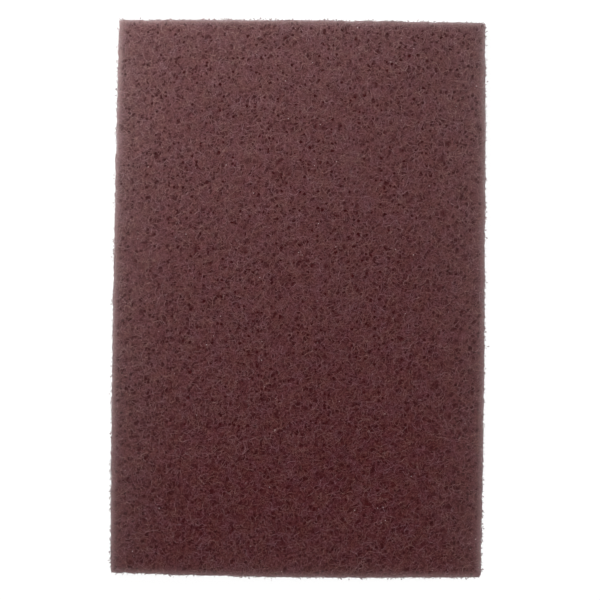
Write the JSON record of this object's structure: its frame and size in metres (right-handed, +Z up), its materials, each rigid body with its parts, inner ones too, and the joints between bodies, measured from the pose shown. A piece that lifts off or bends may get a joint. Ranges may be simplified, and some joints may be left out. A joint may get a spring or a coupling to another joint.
{
  "type": "non-woven hand pad",
  "caption": "Flat rectangular non-woven abrasive hand pad: one lofty web of crimped fibres with pored faces and cut edges, held in the hand to scuff, clean or dull a surface.",
  "frame": {"origin": "middle of the underside, where the pad lies on a bench", "axes": "+Z up out of the broad upper face, Y along the pad's length, X across its width"},
  "size_m": [0.1532, 0.2292, 0.0065],
  "materials": {
    "fibre_web": "matt maroon web of resin-coated crimped nylon fibres with fine mineral grit"
  },
  "bodies": {
    "root": {"hand_pad": "fibre_web"}
  },
  "joints": []
}
